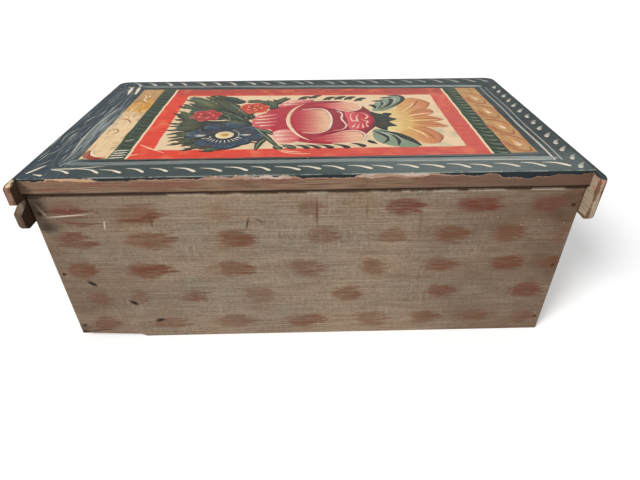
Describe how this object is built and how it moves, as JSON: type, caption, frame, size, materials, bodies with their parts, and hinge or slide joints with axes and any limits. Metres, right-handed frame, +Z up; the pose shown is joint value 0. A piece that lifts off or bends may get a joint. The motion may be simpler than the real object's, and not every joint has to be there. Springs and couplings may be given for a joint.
{
  "type": "candle box",
  "caption": "Painted softwood box for candles, nailed boards, its one-board lid swinging on wooden pins through two end battens.",
  "frame": {"origin": "middle of the whole object's footprint, on the surface that it stands on", "axes": "+X along the box to its right end as seen from the front, -Y to the front, +Y to the hinge side, +Z up"},
  "size_m": [0.387, 0.226, 0.146],
  "materials": {
    "weathered_paint": "grey limewash over softwood, worn, with dabs of red-brown",
    "bare_softwood": "sawn, aged, unpainted",
    "painted_lid": "oil paint on planed softwood, dark border with painted ornament, worn at the edges",
    "peg_wood": "whittled, polished by use",
    "nail_iron": "rust-dark"
  },
  "bodies": {
    "box": {"back_board": "weathered_paint", "front_board": "weathered_paint", "left_end_board": "weathered_paint", "right_end_board": "weathered_paint", "bottom_board": "bare_softwood", "left_hinge_pin": "peg_wood", "right_hinge_pin": "peg_wood", "back_left_nails": "nail_iron", "back_right_nails": "nail_iron", "front_left_nails": "nail_iron", "front_right_nails": "nail_iron", "bottom_left_nails": "nail_iron", "bottom_right_nails": "nail_iron"},
    "lid": {"lid_board": "painted_lid", "left_lid_batten": "painted_lid", "right_lid_batten": "painted_lid", "left_batten_nails": "nail_iron", "right_batten_nails": "nail_iron"}
  },
  "joints": [
    {"name": "lid_hinge", "type": "hinge", "parent": "box", "child": "lid", "pos_m": [0, 0.0975, 0.127], "axis": [-1, 0, 0], "range_deg": [0, 101]}
  ]
}
